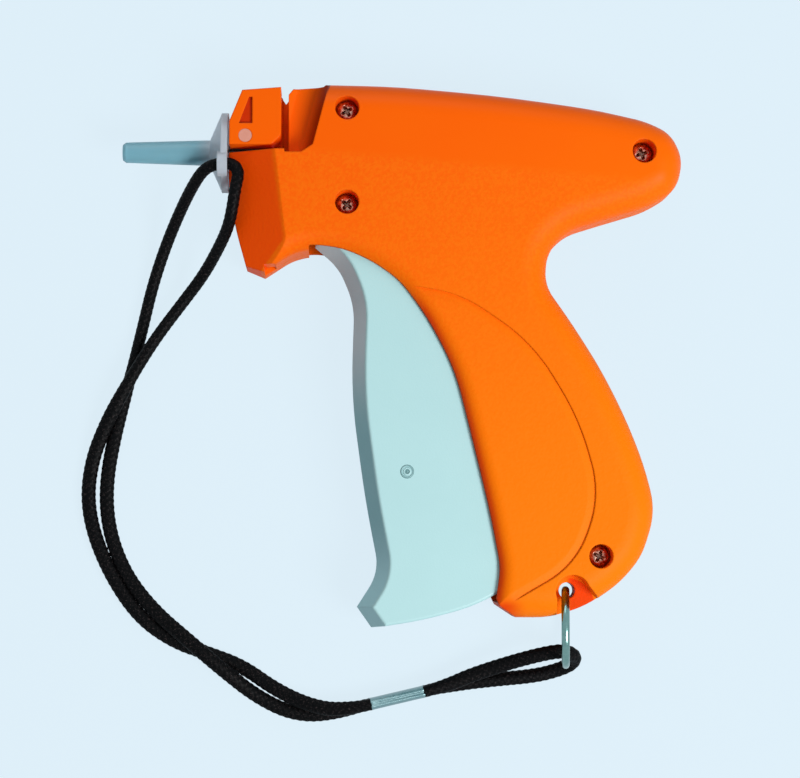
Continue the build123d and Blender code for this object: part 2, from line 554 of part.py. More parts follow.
def needle_guard():
    """A cap over the needle with a dished flange and an eye for the cord."""
    rear, front = NOSE_X - 0.3, NOSE_X - 0.3 - GUARD_DISC_THICK
    neck = front - 3.1
    bore = SPIGOT_R + RUN_FIT
    profile = polygon(
        (GUARD_TIP_X, 0), (GUARD_TIP_X, GUARD_TIP_R - 0.6), (GUARD_TIP_X + 0.8, GUARD_TIP_R),
        (neck, GUARD_BASE_R), (front, GUARD_DISC_R), (rear, GUARD_DISC_R), (rear, GUARD_DISC_R - 0.5 * GUARD_WALL),
        (rear - 0.7, GUARD_DISC_R - GUARD_WALL), (neck + 1.6, GUARD_BASE_R), (neck + 1.6, bore),
        (SPIGOT_END_X - 0.3, bore), (SPIGOT_END_X - 0.3, GUARD_TIP_R - GUARD_WALL + 0.1),
        (GUARD_TIP_X + 1.4, GUARD_TIP_R - GUARD_WALL - 0.1), (GUARD_TIP_X + 1.4, 0),
    )
    guard = Pos(0, NEEDLE_Y, MID_Z) * revolve(profile, Axis.X)
    guard += bar_x(EYE_BOSS_R, rear - 2.6, rear, *EYE_SPOT)
    return guard - bar_x(EYE_R, rear - 5, rear + 1, *EYE_SPOT)


# ---- trigger and drive ---------------------------------------------------------------------------------
def trigger():
    """A hollow trigger, open behind: two cheeks round the pivot boss joined by a wall in front."""
    front = smooth(TRIGGER_FRONT)
    rear = [Line(TRIGGER_FRONT[-1], TRIGGER_TOE), smooth(TRIGGER_REAR), Polyline(*TRIGGER_TOP)]
    face = make_face([front, *rear])
    bevelled = make_face([front, Polyline(TRIGGER_FRONT[-1], *BEVEL_BACK, TRIGGER_FRONT[0])])
    half_wide = TRIGGER_WIDE / 2
    slope = degrees(atan2(TRIGGER_BEVEL, half_wide))
    wedge = extrude(Pos(0, 0, MID_Z) * bevelled, amount=half_wide, taper=slope)
    upper = slab(face, MID_Z, TRIGGER_HIGH_Z) & wedge
    upper = fillet(upper.faces().sort_by(Axis.Z)[-1].edges(), TRIGGER_ROUND)
    body = upper + mirrored(upper)
    hollow = offset(face, amount=-TRIGGER_WALL - TRIGGER_BEVEL, kind=Kind.INTERSECTION)
    inside = slab(hollow, TRIGGER_LOW_Z, TRIGGER_HIGH_Z)
    inside += slab(polygon(*TRIGGER_OPEN_BACK), TRIGGER_LOW_Z, TRIGGER_HIGH_Z)
    inside += block(-20, 60, -9.5, 0, TRIGGER_LOW_Z, TRIGGER_HIGH_Z)
    inner_low, inner_high = TRIGGER_LOW_Z + TRIGGER_WALL, TRIGGER_HIGH_Z - TRIGGER_WALL
    body -= inside & slab(Rectangle(400, 400), inner_low, inner_high)
    seat_half = SPRING_R + 1
    body += block(
        SPRING_FRONT_X - WALL, SPRING_FRONT_X, SPRING_Y - seat_half, SPRING_Y + seat_half, inner_low, inner_high
    )
    horn_end = polar(PIVOT_SPOT, (LOWER_PIN_NEAR + LOWER_PIN_FAR) / 2, LOWER_PIN_ANGLE)
    ear_end = polar(PIVOT_SPOT, FEED_PIN_FAR, FEED_PIN_ANGLE)
    boss_way = CenterArc(PIVOT_SPOT, LEVER_GAP, degrees(LEVER_BEARING) - TRIGGER_SWING, TRIGGER_SWING + 9)
    body -= slab(SlotArc(boss_way, 2 * (LEVER_BOSS_R + SIDE_GAP)), TRIGGER_LOW_Z - 1, TRIGGER_HIGH_Z + 1)
    for low, high in ((TRIGGER_LOW_Z, inner_low), (inner_high, TRIGGER_HIGH_Z)):
        body += post(PIVOT_SPOT, HUB_R, low, high)
        body += link(HORN_ROOT, horn_end, HORN_ROOT_R, HORN_R, low, high)
    body += link(PIVOT_SPOT, ear_end, HUB_R, FEED_PIN_R + SLOT_SLACK + 1.1, inner_high, TRIGGER_HIGH_Z)
    body -= post(PIVOT_SPOT, BOSS_R + RUN_FIT, TRIGGER_LOW_Z - 1, TRIGGER_HIGH_Z + 1)
    body -= radial_slot(LOWER_PIN_NEAR, LOWER_PIN_FAR, LOWER_PIN_ANGLE, CROSS_PIN_R, TRIGGER_LOW_Z)
    return body - radial_slot(FEED_PIN_NEAR, FEED_PIN_FAR, FEED_PIN_ANGLE, FEED_PIN_R, inner_high - 0.5)


def radial_slot(near, far, angle, pin_radius, low):
    """A slot along a radius of the trigger's pivot, for a pin that slides a little in it."""
    start = polar(PIVOT_SPOT, near - SLOT_SLACK, angle)
    end = polar(PIVOT_SPOT, far + SLOT_SLACK, angle)
    radius = pin_radius + SLOT_SLACK
    return link(start, end, radius, radius, low - 0.5, TRIGGER_HIGH_Z + 1)


def drive_lever():
    """The bent lever that turns the short pull of the trigger into the long stroke of the carriage."""
    low, high = MID_Z - LEVER_THICK / 2, MID_Z + LEVER_THICK / 2
    lever = link(LEVER_SPOT, UPPER_PIN, LEVER_HUB_R, 2 * CROSS_PIN_R, low, high)
    lever += link(LEVER_SPOT, LOWER_PIN, LEVER_HUB_R, 2 * CROSS_PIN_R, low, high)
    lever -= post(LEVER_SPOT, LEVER_AXLE_R + RUN_FIT, low - 1, high + 1)
    for spot in (UPPER_PIN, LOWER_PIN):
        lever -= post(spot, CROSS_PIN_R + SEAT_FIT, low - 1, high + 1)
    return lever


def carriage():
    """The carriage that pushes the ejector rod: two cheeks, a bridge on top and a block in front."""
    half = CARRIAGE_WIDE / 2
    front, rear = CARRIAGE_FRONT_X, CARRIAGE_REAR_X
    body = block(front, rear, CARRIAGE_LOW_Y, CARRIAGE_TOP_Y, MID_Z - half, MID_Z + half)
    gap = LEVER_THICK / 2 + SIDE_GAP
    ceiling = UPPER_PIN_TOP_Y + 2 * CROSS_PIN_R + SIDE_GAP
    body -= block(front + ROD_GRIP, rear + 1, CARRIAGE_LOW_Y - 1, ceiling, MID_Z - gap, MID_Z + gap)
    grip_end = front + ROD_GRIP + 0.1
    body -= block(front - 1, grip_end, CARRIAGE_LOW_Y - 1, NEEDLE_Y - 3, MID_Z - gap, MID_Z + gap)
    slot = CROSS_PIN_R + LEVER_SLACK
    low, high = UPPER_PIN[1] + LEVER_SLACK, UPPER_PIN_TOP_Y - LEVER_SLACK
    body -= link((UPPER_PIN[0], low - 0.6), (UPPER_PIN[0], high + 0.6), slot, slot, 0, CASING_THICK)
    return body - bar_x(ROD_R + SEAT_FIT, front - 1, front + ROD_GRIP + 1)


# ---- fastener feed ---------------------------------------------------------------------------------------
def toothed(root_radius, tip_radius, lean, low, high):
    """A disc with pointed teeth; lean moves each tip towards the next root, as on a ratchet."""
    points = []
    for tooth in range(FEED_TEETH):
        start = radians(360 / FEED_TEETH * tooth)
        points.append(polar((0, 0), root_radius, start))
        points.append(polar((0, 0), tip_radius, start + radians(360 / FEED_TEETH) * lean))
    return slab(Pos(*FEED_SPOT) * polygon(*points), low, high)


def feed_wheel():
    """The toothed wheel that moves the strip of fasteners on, with its ratchet on one side."""
    ratchet_z = FEED_WHEEL_Z + FEED_WHEEL_THICK
    wheel = toothed(FEED_WHEEL_R - 1.3, FEED_WHEEL_R, 0.5, FEED_WHEEL_Z, ratchet_z)
    wheel += toothed(RATCHET_R - 0.8, RATCHET_R, 0.15, ratchet_z, ratchet_z + RATCHET_THICK)
    return wheel - post(FEED_SPOT, FEED_SHAFT_R + RUN_FIT, 0, CASING_THICK)


def feed_shaft():
    """The headed shaft of the feed wheel, fixed in the right half."""
    end = FEED_LEVER_Z + FEED_LEVER_THICK + SIDE_GAP
    shaft = post(FEED_SPOT, FEED_SHAFT_R, WALL / 2 + 0.2, end)
    return shaft + post(FEED_SPOT, FEED_SHAFT_R + 0.8, end, end + 0.8)


def feed_lever():
    """The lever that the trigger rocks about the feed shaft; it carries the pawl."""
    low, high = FEED_LEVER_Z, FEED_LEVER_Z + FEED_LEVER_THICK
    lever = link(FEED_SPOT, FEED_PIN, FEED_SHAFT_R + 1.5, FEED_PIN_R + 0.7, low, high)
    lever += link(FEED_SPOT, PAWL_SPOT, FEED_SHAFT_R + 1.5, PAWL_R, low, high)
    lever -= post(FEED_SPOT, FEED_SHAFT_R + RUN_FIT, low - 1, high + 1)
    lever -= post(PAWL_SPOT, PAWL_PIN_R + RUN_FIT, low - 1, high + 1)
    return lever - post(FEED_PIN, FEED_PIN_R + SEAT_FIT, low - 1, high + 1)


def feed_pawl():
    """The pawl that turns the ratchet, with its own pivot pin."""
    low = FEED_WHEEL_Z + FEED_WHEEL_THICK + RUN_FIT * 2
    tip = polar(FEED_SPOT, RATCHET_R + PAWL_TIP_R + RUN_FIT * 2, radians(PAWL_BEARING - 26))
    pawl = link(PAWL_SPOT, tip, PAWL_R - 0.2, PAWL_TIP_R, low, FEED_LEVER_Z - RUN_FIT * 2)
    return pawl + post(PAWL_SPOT, PAWL_PIN_R, low, FEED_LEVER_Z + FEED_LEVER_THICK)


# ---- spring, ring and cords ------------------------------------------------------------------------------
def return_spring():
    """The compression spring between the trigger and the back of the grip."""
    coil_r = SPRING_R - SPRING_WIRE_R
    front, rear = SPRING_FRONT_X + SPRING_WIRE_R + 0.1, SPRING_REAR_X - SPRING_WIRE_R - 0.1
    steps = SPRING_STEPS * SPRING_TURNS
    points = []
    for step in range(steps + 1):
        y, z = polar((SPRING_Y, MID_Z), coil_r, radians(360 / SPRING_STEPS * step))
        points.append((front + (rear - front) * step / steps, y, z))
    start = Plane(origin=points[0], z_dir=Vector(*points[1]) - Vector(*points[0]))
    return sweep(start * Circle(SPRING_WIRE_R), path=rounded(points))


def lanyard_ring():
    """The wire ring in the heel of the grip, leaning a little towards the nose."""
    middle_y = RING_HOLE_SPOT[1] + RING_REST_Y - RING_R
    return Pos(RING_HOLE_SPOT[0], middle_y, MID_Z) * Rot(0, 90 - RING_LEAN, 0) * Torus(RING_R, RING_WIRE_R)


def lanyard_ferrule():
    """The crimped ferrule that holds the four cord ends, one pair above the other."""
    start, end = Vector(*LONG_LOOP[0][:2], 0), Vector(*SHORT_LOOP[0][:2], 0)
    along = (end - start).normalized()
    origin = start + along * FERRULE_GAP + Vector(0, 0, FERRULE_HIGH / 2 + 0.05)
    section = RectangleRounded(FERRULE_WIDE, FERRULE_HIGH, 0.48 * FERRULE_WIDE)
    across = Vector(0, 0, 1).cross(along)
    long = (end - start).length - 2 * FERRULE_GAP
    return extrude(Plane(origin=origin, x_dir=across, z_dir=along) * section, amount=long)


nodes = {
    "left_housing": left_casing(),
    "right_housing": right_casing(),
    "housing_screws": casing_screws(),
    "needle": needle(),
    "needle_base": needle_base(),
    "needle_lock": needle_lock(),
    "needle_lock_pin": post(LOCK_DOT_SPOT, DOT_R, MID_Z + 3.6, LOCK_FACE_Z),
    "needle_guard": needle_guard(),
    "trigger": trigger(),
    "drive_lever": drive_lever(),
    "drive_lever_axle": cross_pin(LEVER_SPOT, LEVER_AXLE_R, (CASING_THICK - WALL) / 2 - 0.2),
    "drive_pin_upper": cross_pin(UPPER_PIN, CROSS_PIN_R, CARRIAGE_WIDE / 2 - 0.3),
    "drive_pin_lower": cross_pin(LOWER_PIN, CROSS_PIN_R, TRIGGER_WIDE / 2 - 0.3),
    "carriage": carriage(),
    "ejector_rod": bar_x(ROD_R, ROD_TIP_X, CARRIAGE_FRONT_X + ROD_GRIP),
    "feed_wheel": feed_wheel(),
    "feed_shaft": feed_shaft(),
    "feed_lever": feed_lever(),
    "feed_lever_pin": post(FEED_PIN, FEED_PIN_R, FEED_LEVER_Z, TRIGGER_HIGH_Z - 0.2),
    "feed_pawl": feed_pawl(),
    "return_spring": return_spring(),
    "lanyard_ring": lanyard_ring(),
    "lanyard_ferrule": lanyard_ferrule(),
    "lanyard_loop": cord("lanyard_loop", LONG_LOOP),
    "lanyard_short_loop": cord("lanyard_short_loop", SHORT_LOOP),
}
for name, shape in nodes.items():
    export_step(shape, f"parts/{name}.step")
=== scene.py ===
"""Looks of the garment tag attacher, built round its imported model. Lengths are in metres.

+X runs towards the tail, +Y towards the top edge and +Z towards the left side. The gun lies on
its right side on z = 0, with the origin under the trigger's pivot.
"""

import json
import math

import bpy
import numpy as np
from mathutils import Matrix, Vector


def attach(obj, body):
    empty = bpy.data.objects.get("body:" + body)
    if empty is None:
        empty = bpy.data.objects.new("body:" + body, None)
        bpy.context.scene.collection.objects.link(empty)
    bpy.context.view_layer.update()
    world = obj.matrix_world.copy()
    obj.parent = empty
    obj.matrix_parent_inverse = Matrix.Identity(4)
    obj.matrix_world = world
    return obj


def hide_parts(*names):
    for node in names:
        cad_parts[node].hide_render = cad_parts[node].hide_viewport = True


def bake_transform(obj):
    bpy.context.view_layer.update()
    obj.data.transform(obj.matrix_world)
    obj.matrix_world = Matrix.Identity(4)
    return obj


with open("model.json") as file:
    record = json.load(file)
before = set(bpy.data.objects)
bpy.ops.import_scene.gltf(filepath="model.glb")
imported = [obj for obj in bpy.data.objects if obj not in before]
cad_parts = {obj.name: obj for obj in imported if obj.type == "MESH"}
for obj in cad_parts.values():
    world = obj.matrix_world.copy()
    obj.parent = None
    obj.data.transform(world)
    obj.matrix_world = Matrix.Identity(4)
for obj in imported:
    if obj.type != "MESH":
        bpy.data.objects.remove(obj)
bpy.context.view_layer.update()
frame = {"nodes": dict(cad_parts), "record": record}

nodes = frame["nodes"]
scene = bpy.context.scene


# ---- shader maths --------------------------------------------------------------------------
class Wire:
    """One output of a shader node. Arithmetic on it adds Math nodes, so a mask is a formula."""

    def __init__(self, net, socket):
        self.net = net
        self.socket = socket

    def maths(self, operation, *values):
        return self.net.node("ShaderNodeMath", {"operation": operation}, dict(enumerate(values)))

    def larger(self, other):
        return self.maths("MAXIMUM", self, other)

    def __add__(self, other):
        return self.maths("ADD", self, other)

    def __sub__(self, other):
        return self.maths("SUBTRACT", self, other)

    def __rsub__(self, other):
        return self.maths("SUBTRACT", other, self)

    def __mul__(self, other):
        return self.maths("MULTIPLY", self, other)

    __radd__ = __add__
    __rmul__ = __mul__


class Net:
    """The nodes of a material or of the world."""

    def __init__(self, tree):
        self.tree = tree

    def node(self, kind, settings=None, sockets=None, output=0):
        """Adds a node: its settings first, then the values or wires of its sockets."""
        made = self.tree.nodes.new(kind)
        for key, value in (settings or {}).items():
            setattr(made, key, value)
        for key, value in (sockets or {}).items():
            self.feed(made.inputs[key], value)
        return Wire(self, made.outputs[output])

    def feed(self, socket, value):
        """Links a wire to a socket, or sets the socket's own value."""
        if isinstance(value, Wire):
            self.tree.links.new(value.socket, socket)
        else:
            socket.default_value = value

    def above(self, value, limit, blur):
        """0 below the limit and 1 above it, with a smooth step that reaches blur to each side."""
        settings = {"interpolation_type": "SMOOTHSTEP"}
        sockets = {"Value": value, "From Min": limit - blur, "From Max": limit + blur}
        return self.node("ShaderNodeMapRange", settings, sockets)

    def below(self, value, limit, blur):
        """1 below the limit and 0 above it, with the same step turned round."""
        return self.above(value, limit, -blur)

    def between(self, value, low, high, blur):
        """1 from the low limit to the high one and 0 outside them."""
        return self.above(value, low, blur) * self.below(value, high, blur)

    def tinted(self, amount, first, second):
        """The first colour turning into the second as amount goes from 0 to 1."""
        sockets = {0: amount, 6: first, 7: second}
        return self.node("ShaderNodeMix", {"data_type": "RGBA"}, sockets, 2)

    def end_in(self, output, light, sight, share=1.0):
        """Ends the tree in the light shader, and in the sight shader, by that share, for what
        the camera sees straight, in a shine or through the guard."""
        kinds = ("Is Camera Ray", "Is Glossy Ray", "Is Transmission Ray")
        straight, shine, through = (self.node("ShaderNodeLightPath", output=ray) for ray in kinds)
        seen = straight.larger(shine).larger(through)
        mixed = self.node("ShaderNodeMixShader", {}, {0: seen * share, 1: light, 2: sight})
        self.feed(self.tree.nodes[output].inputs["Surface"], mixed)


class Finish(Net):
    """A material being made: its nodes end in one Principled surface."""

    def __init__(self, name, constants):
        self.material = bpy.data.materials.new(name)
        self.material.use_nodes = True
        super().__init__(self.material.node_tree)
        self.surface = self.tree.nodes["Principled BSDF"]
        for key, value in constants.items():
            self.surface.inputs[key].default_value = value
        self.place = self.node("ShaderNodeTexCoord", output="Object")

    def across(self, axis):
        """The X, Y or Z of the place on the piece, in metres."""
        return self.node("ShaderNodeSeparateXYZ", {}, {0: self.place}, axis)

    def disc(self, centre, radius, blur):
        """1 inside an upright cylinder round a centre and 0 outside it."""
        right, ahead = self.across(0) - centre[0], self.across(1) - centre[1]
        inner, outer = (radius - blur) ** 2, (radius + blur) ** 2
        middle, reach = (outer + inner) / 2, (outer - inner) / 2
        return self.below(right * right + ahead * ahead, middle, reach)

    def noise(self, per_metre, detail=2.0, roughness=0.5):
        """Cloudy noise from 0 to 1 with that many cells in a metre."""
        sockets = {"Vector": self.place, "Scale": per_metre, "Detail": detail,
                   "Roughness": roughness}
        return self.node("ShaderNodeTexNoise", {}, sockets)

    def edges(self, radius):
        """The normal with sharp edges broken by that radius."""
        return self.node("ShaderNodeBevel", {"samples": 6}, {"Radius": radius})

    def relief(self, height, depth, normal=None):
        """The normal of a height from 0 to 1 that stands that many metres deep."""
        sockets = {"Height": height, "Distance": depth, "Strength": 1.0}
        if normal:
            sockets["Normal"] = normal
        return self.node("ShaderNodeBump", {}, sockets)

    def paint(self, base, roughness, normal):
        """Feeds the surface with its colour, its roughness and its normal."""
        wires = {"Base Color": base, "Roughness": roughness, "Normal": normal}
        for socket, value in wires.items():
            self.feed(self.surface.inputs[socket], value)
        return self.material


def tint(red, green, blue):
    """A colour written as screen values from 0 to 255, as the shaders need it."""
    shares = np.array([red, green, blue]) / 255
    linear = np.where(shares <= 0.04045, shares / 12.92, ((shares + 0.055) / 1.055) ** 2.4)
    return (*linear.tolist(), 1.0)


# ---- meshes --------------------------------------------------------------------------------
def circle(count):
    """The angles of that many equal steps round a circle."""
    return np.arange(count) * 2 * math.pi / count


def bell(value, width):
    """A bell curve: 1 at 0, and about a third at that width."""
    return np.exp(-((value / width) ** 2))


def unit(lines):
    """Directions with a length of 1."""
    return lines / np.linalg.norm(lines, axis=-1, keepdims=True)


def cells(rows, around):
    """The four corners of every cell of a grid whose rows are closed rings."""
    index = np.arange(rows * around).reshape(rows, around)
    after = np.roll(index, -1, axis=1)
    return np.stack([index[:-1], after[:-1], after[1:], index[1:]], axis=-1).reshape(-1, 4)


def lofted(name, parts, clockwise=False):
    """One mesh of closed parts. Each part is a row of rings of points, smooth from one ring to
    the next, with a flat cap on its first and last ring. The faces point outwards: clockwise is
    for rings that run clockwise where the row comes towards the eye."""
    faces, caps, first = [], [], 0
    for rings in parts:
        rows, around = rings.shape[:2]
        last, beyond = first + (rows - 1) * around, first + rows * around
        faces += (cells(rows, around) + first).tolist()
        caps += [range(first + around - 1, first - 1, -1), range(last, beyond)]
        first = beyond
    corners = [list(face) for face in (*faces, *caps)]
    if clockwise:
        corners = [face[::-1] for face in corners]
    mesh = bpy.data.meshes.new(name)
    mesh.from_pydata(np.concatenate(parts).reshape(-1, 3).tolist(), [], corners)
    mesh.polygons.foreach_set("use_smooth", [True] * len(faces) + [False] * len(caps))
    mesh.update()
    made = bpy.data.objects.new(name, mesh)
    scene.collection.objects.link(made)
    return made


# ---- camera, floor and light ---------------------------------------------------------------
EYE = (-0.0042507, -0.0891008, 0.612)
EYE_AIM = (0.0139493, -0.0472408, 0.012)
LAMP_AIM = (0.02, -0.04, 0.01)
TABLE_HALF, TABLE_HIGH = 3, -0.0003


def looking(place, target):
    """The placing of a camera or lamp that looks from a place at a target, with +Y upwards."""
    place, target = Vector(place), Vector(target)
    back = (place - target).normalized()
    right = Vector((0, 1, 0)).cross(back).normalized()
    turn = Matrix([right, back.cross(right), back]).transposed().to_4x4()
    return Matrix.Translation(place) @ turn


def lamp(name, place, size, watts):
    """A square soft box that looks at the gun."""
    light = bpy.data.lights.new(name, "AREA")
    light.size = size
    light.energy = watts
    made = bpy.data.objects.new(name, light)
    made.matrix_world = looking(place, LAMP_AIM)
    scene.collection.objects.link(made)


eye = bpy.data.objects.new("camera", bpy.data.cameras.new("camera"))
eye.matrix_world = looking(EYE, EYE_AIM)
eye.data.sensor_width = 36
eye.data.lens = 104.146
scene.collection.objects.link(eye)
scene.camera = eye
scene.view_settings.view_transform = "Standard"

lamp("key", (0.50, -0.42, 0.72), 0.40, 7.7)
lamp("fill", (-0.10, 0.80, 0.50), 0.60, 2.2)

room = bpy.data.worlds.new("pale_room")
room.use_nodes = True
scene.world = room
air = Net(room.node_tree)
soft = air.node("ShaderNodeBackground", {}, {"Color": (0.95, 0.98, 1.0, 1.0), "Strength": 0.26})
wall = air.node("ShaderNodeBackground", {}, {"Color": tint(222, 239, 249), "Strength": 1.0})
air.end_in("World Output", soft, wall)

ground = bpy.data.meshes.new("floor")
square = ((-1, -1), (1, -1), (1, 1), (-1, 1))
corners = [(TABLE_HALF * x, TABLE_HALF * y, TABLE_HIGH) for x, y in square]
ground.from_pydata(corners, [], [(0, 1, 2, 3)])
floor = bpy.data.objects.new("floor", ground)
scene.collection.objects.link(floor)
table = Finish(
    "pale_table", {"Base Color": tint(170, 184, 192), "Roughness": 0.9, "Specular IOR Level": 0.1}
)
lit = Wire(table, table.surface.outputs[0])
glow = table.node("ShaderNodeEmission", {}, {"Color": tint(228, 245, 255), "Strength": 1.0})
table.end_in("Material Output", lit, glow, 0.9)  # the rest keeps the gun's shadow
floor.data.materials.append(table.material)


# ---- cords ---------------------------------------------------------------------------------
CORD = 0.0032
STRANDS = 6  # strands of the braid each way round
STITCH = 0.0017  # length of one stitch along the cord
GROOVE = 0.00026  # depth of the valleys between strands
PRESSED_FROM, PRESSED_OVER = -0.040, 0.015  # the cord lies pressed where y is lower
PRESSED, DRAWN_IN = 0.2, 0.22  # shares of its width
FERRULE_REACH = 0.006  # how far from its ends the ferrule draws the cord in
# From the ferrule up to the guard's eye and back beside itself.
LONG_ROUTE = [
    (0.0067, -0.1291, 0.0017), (-0.0036, -0.1319, 0.0017), (-0.0136, -0.1319, 0.0017),
    (-0.0232, -0.1273, 0.0019), (-0.0322, -0.12, 0.0047), (-0.0406, -0.1128, 0.0053),
    (-0.0502, -0.1049, 0.0025), (-0.0578, -0.0954, 0.0017), (-0.0622, -0.084, 0.0017),
    (-0.0631, -0.072, 0.0017), (-0.0606, -0.0575, 0.0017), (-0.0568, -0.0435, 0.0017),
    (-0.0537, -0.0305, 0.0017), (-0.0512, -0.0195, 0.0018), (-0.0478, -0.0095, 0.004),
    (-0.0438, -0.001, 0.009), (-0.0402, 0.005, 0.0146), (-0.037, 0.009, 0.0188),
    (-0.0336, 0.0103, 0.0201), (-0.0296, 0.0104, 0.0203), (-0.0277, 0.0082, 0.0213),
    (-0.0287, 0.0036, 0.0216), (-0.0294, -0.0012, 0.0209), (-0.0306, -0.006, 0.018),
    (-0.0336, -0.0112, 0.0122), (-0.0376, -0.0172, 0.0066), (-0.0428, -0.0236, 0.0036),
    (-0.0494, -0.0326, 0.0048), (-0.0544, -0.0406, 0.0053), (-0.0594, -0.0494, 0.0052),
    (-0.0632, -0.0566, 0.0034), (-0.0666, -0.065, 0.0017), (-0.0679, -0.075, 0.0017),
    (-0.0661, -0.085, 0.0017), (-0.0612, -0.0962, 0.0017), (-0.054, -0.1066, 0.0017),
    (-0.045, -0.1129, 0.0017), (-0.036, -0.116, 0.0017), (-0.027, -0.1193, 0.0017),
    (-0.0182, -0.1255, 0.0023), (-0.0092, -0.1295, 0.0042), (-0.001, -0.1307, 0.0051),
    (0.00665, -0.1291, 0.0051),
]
# From the ferrule under the ring, round it and back through it.
SHORT_ROUTE = [
    (0.0205, -0.1259, 0.0017), (0.0285, -0.1241, 0.0017), (0.039, -0.1229, 0.0017),
    (0.0495, -0.122, 0.0017), (0.0556, -0.1205, 0.0018), (0.0594, -0.1187, 0.0036),
    (0.0598, -0.1165, 0.0074), (0.0564, -0.115, 0.0098), (0.0506, -0.116, 0.009),
    (0.0418, -0.1185, 0.0068), (0.0325, -0.1216, 0.0055), (0.0266, -0.1242, 0.0051),
    (0.02045, -0.12585, 0.0051),
]


def laid(route):
    """The smooth line of a cord: a NURBS spline of order 3 over its route, in small steps."""
    curve = bpy.data.curves.new("route", "CURVE")
    curve.dimensions = "3D"
    curve.resolution_u = 20
    spline = curve.splines.new("NURBS")
    spline.points.add(len(route) - 1)
    spline.points.foreach_set("co", np.column_stack([route, np.ones(len(route))]).ravel())
    spline.order_u = 3
    spline.use_endpoint_u = True
    holder = bpy.data.objects.new("route", curve)
    mesh = bpy.data.meshes.new_from_object(holder)
    line = np.zeros(len(mesh.vertices) * 3)
    mesh.vertices.foreach_get("co", line)
    bpy.data.meshes.remove(mesh)
    bpy.data.curves.remove(curve)
    return line.reshape(-1, 3)


def paced(line, step):
    """The line again, as points an even step apart, with how far along it each one is."""
    along = np.concatenate([[0], np.cumsum(np.linalg.norm(np.diff(line, axis=0), axis=1))])
    at = np.linspace(0, along[-1], round(along[-1] / step) + 1)
    return np.stack([np.interp(at, along, line[:, k]) for k in range(3)], axis=1), at


def braided(name, route, around=40, step=0.00022):
    """A round braid. Counted in strands round the cord, u, and in stitches along it, v, one
    family of strands lies where u + v is whole and the other where u - v is whole. Across itself
    a strand is the top of a circle, and along itself it rises and dips as a cosine, one family
    up where the other is down. The surface is the higher of the two. Where the cord lies pressed
    it is wider and lower by the same factor, with a smooth step along y. Next to the ferrule it
    is drawn in, as a bell curve."""
    line, along = paced(laid(route), step)
    ahead = unit(np.gradient(line, axis=0))
    level = unit(np.cross(ahead, [0, 0, 1]))
    upright = np.cross(level, ahead)
    low = np.clip((PRESSED_FROM - line[:, 1]) / PRESSED_OVER, 0, 1)
    drawn = bell(along, FERRULE_REACH) + bell(along[-1] - along, FERRULE_REACH)
    spread = 1 + PRESSED * low * low * (3 - 2 * low) - DRAWN_IN * drawn
    angle = circle(around)
    u = angle[None, :] * STRANDS / (2 * math.pi)
    v = along[:, None] / STITCH
    families = []
    for own, other, sign in ((u + v, u - v, 1), (u - v, u + v, -1)):
        whole = np.round(own)
        crown = np.sqrt(np.clip(1 - (1.7 * (own - whole)) ** 2, 0, 1))
        wave = sign * np.cos(math.pi * other) * np.where(whole % 2 == 0, 1, -1)
        families.append(0.62 * crown + 0.38 * wave)
    height = np.clip(np.maximum(*families), 0, 1)
    radius = CORD / 2 - GROOVE * (1 - height)
    sideways = np.cos(angle)[:, None] * (level * spread[:, None])[:, None]
    upwards = np.sin(angle)[:, None] * (upright / np.maximum(spread, 1)[:, None])[:, None]
    made = lofted(name, [line[:, None] + radius[..., None] * (sideways + upwards)], clockwise=True)
    depth = made.data.attributes.new("depth", "FLOAT", "POINT")
    depth.data.foreach_set("value", height.astype(np.float32).ravel())
    return made, line, float(along[-1])


def crimped(name, start, end, wide=0.0031, high=0.0064, steps=28, around=64):
    """The crimped ferrule. Its section is a flat round-sided loop, each coordinate of a circle
    raised to a power, whose upper middle dips in a narrow valley, a bell curve across the width,
    where its two edges meet. Towards each end the section swells a little, and its rim turns
    in; both are bell curves along it."""
    swell, swell_reach, turn_in, turn_reach = 0.05, 0.0008, 0.10, 0.00018
    valley, valley_wide, squareness = 0.00055, 0.00028, 0.75
    start, end = np.array(start), np.array(end)
    length = np.linalg.norm(end - start)
    level = np.cross((end - start) / length, [0, 0, 1])
    share = np.linspace(0, 1, steps)
    rim = np.minimum(share, 1 - share) * length
    size = 1 + swell * bell(rim, swell_reach) - turn_in * bell(rim, turn_reach)
    right, top = np.cos(circle(around)), np.sin(circle(around))
    across = np.sign(right) * np.abs(right) ** squareness * wide / 2
    up = np.sign(top) * np.abs(top) ** squareness * high / 2
    up = up - np.where(up > 0, valley * bell(across, valley_wide), 0)
    middle = start + share[:, None] * (end - start)
    section = across[:, None] * level + up[:, None] * np.array([0, 0, 1.0])
    return lofted(name, [middle[:, None] + size[:, None, None] * section], clockwise=True)


long_cord, long_line, long_length = braided("lanyard_cord_long", LONG_ROUTE)
short_cord, short_line, short_length = braided("lanyard_cord_short", SHORT_ROUTE)
ferrule = crimped("ferrule_crimp", (0.00625, -0.12920, 0.0034), (0.02080, -0.12583, 0.0034))


# ---- trigger, screws and spring ------------------------------------------------------------
GATE = (0.0155, -0.0690, 0.0210)  # middle of the moulding gate, on the trigger's left face
SCREWS = [(0, 0.0244, 0.5), (0, 0, 0.9), (0.0766, 0.0136, 0.3), (0.0648, -0.0906, 1.1)]


